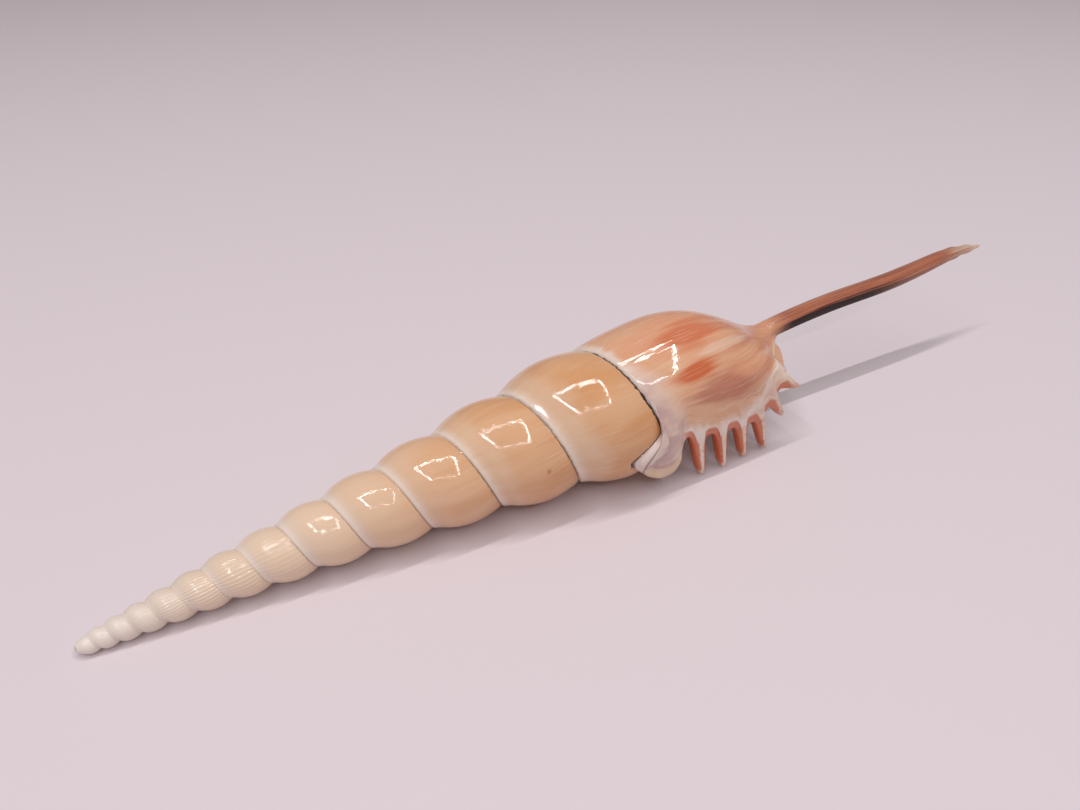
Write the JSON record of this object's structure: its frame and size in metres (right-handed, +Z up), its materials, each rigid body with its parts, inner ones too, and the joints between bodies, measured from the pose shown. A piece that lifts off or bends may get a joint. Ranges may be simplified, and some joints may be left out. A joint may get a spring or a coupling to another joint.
{
  "type": "tibia sea shell",
  "caption": "Long spindle-shaped sea snail shell with convex whorls, a fingered outer lip and a slender canal, lying on its aperture side.",
  "frame": {"origin": "bottom centre of the box around the shell, on the surface it lies on", "axes": "+X from the apex towards the tip of the canal, +Y away from the outer lip, +Z up"},
  "size_m": [0.2146, 0.0294, 0.032],
  "materials": {
    "shell": "glossy natural shell, white at the apex, cream to apricot whorls with white seams, orange-brown body whorl and canal"
  },
  "bodies": {
    "root": {"shell": "shell"}
  },
  "joints": []
}
